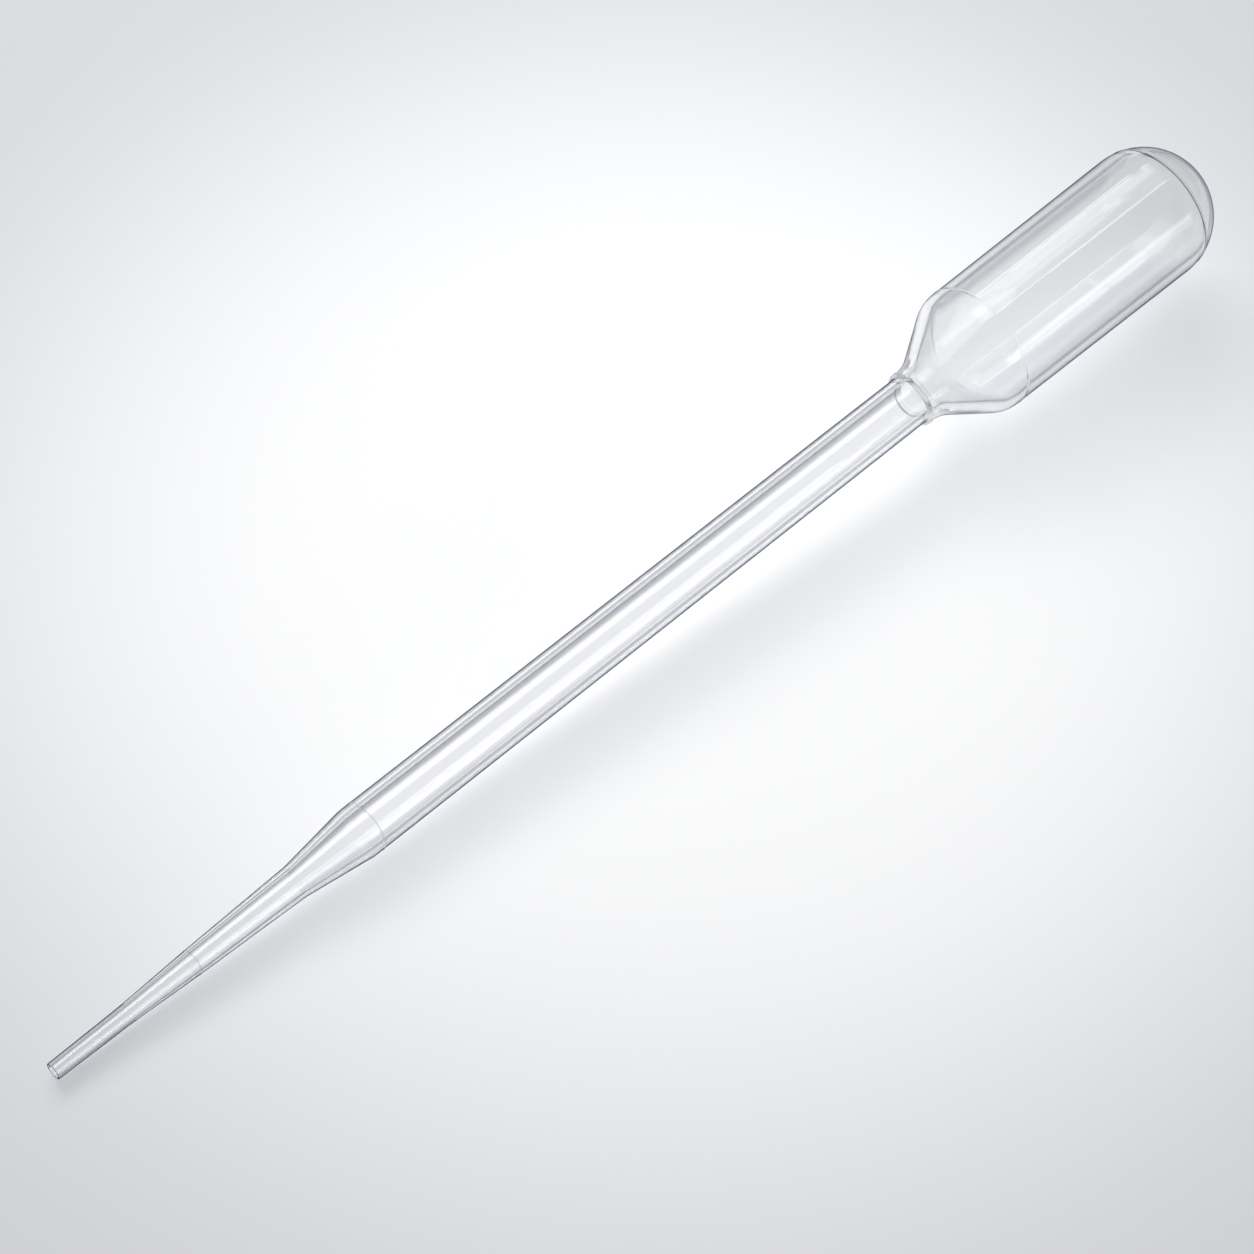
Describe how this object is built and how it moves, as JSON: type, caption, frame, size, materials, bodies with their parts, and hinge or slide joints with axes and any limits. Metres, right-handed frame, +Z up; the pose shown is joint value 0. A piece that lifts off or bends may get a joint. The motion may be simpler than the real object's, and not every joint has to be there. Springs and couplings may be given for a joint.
{
  "type": "plastic dropper pipette",
  "caption": "Clear plastic dropper pipette with a round-ended squeeze bulb, a collar, a straight stem and a fine tapered tip that is open at its mouth, lying on its side.",
  "frame": {"origin": "on the table under the middle of the pipette's bounding box, as it lies on its side", "axes": "+X towards the bulb's end along the pipette seen from above, +Z up. The pipette's own axis lies in the XZ plane and rises 2.92 degrees towards the bulb, because mouth and bulb both touch the table"},
  "size_m": [0.1548, 0.0146, 0.0158],
  "materials": {
    "clear_plastic": "polished, clear and colourless"
  },
  "bodies": {
    "root": {"pipette": "clear_plastic"}
  },
  "joints": []
}
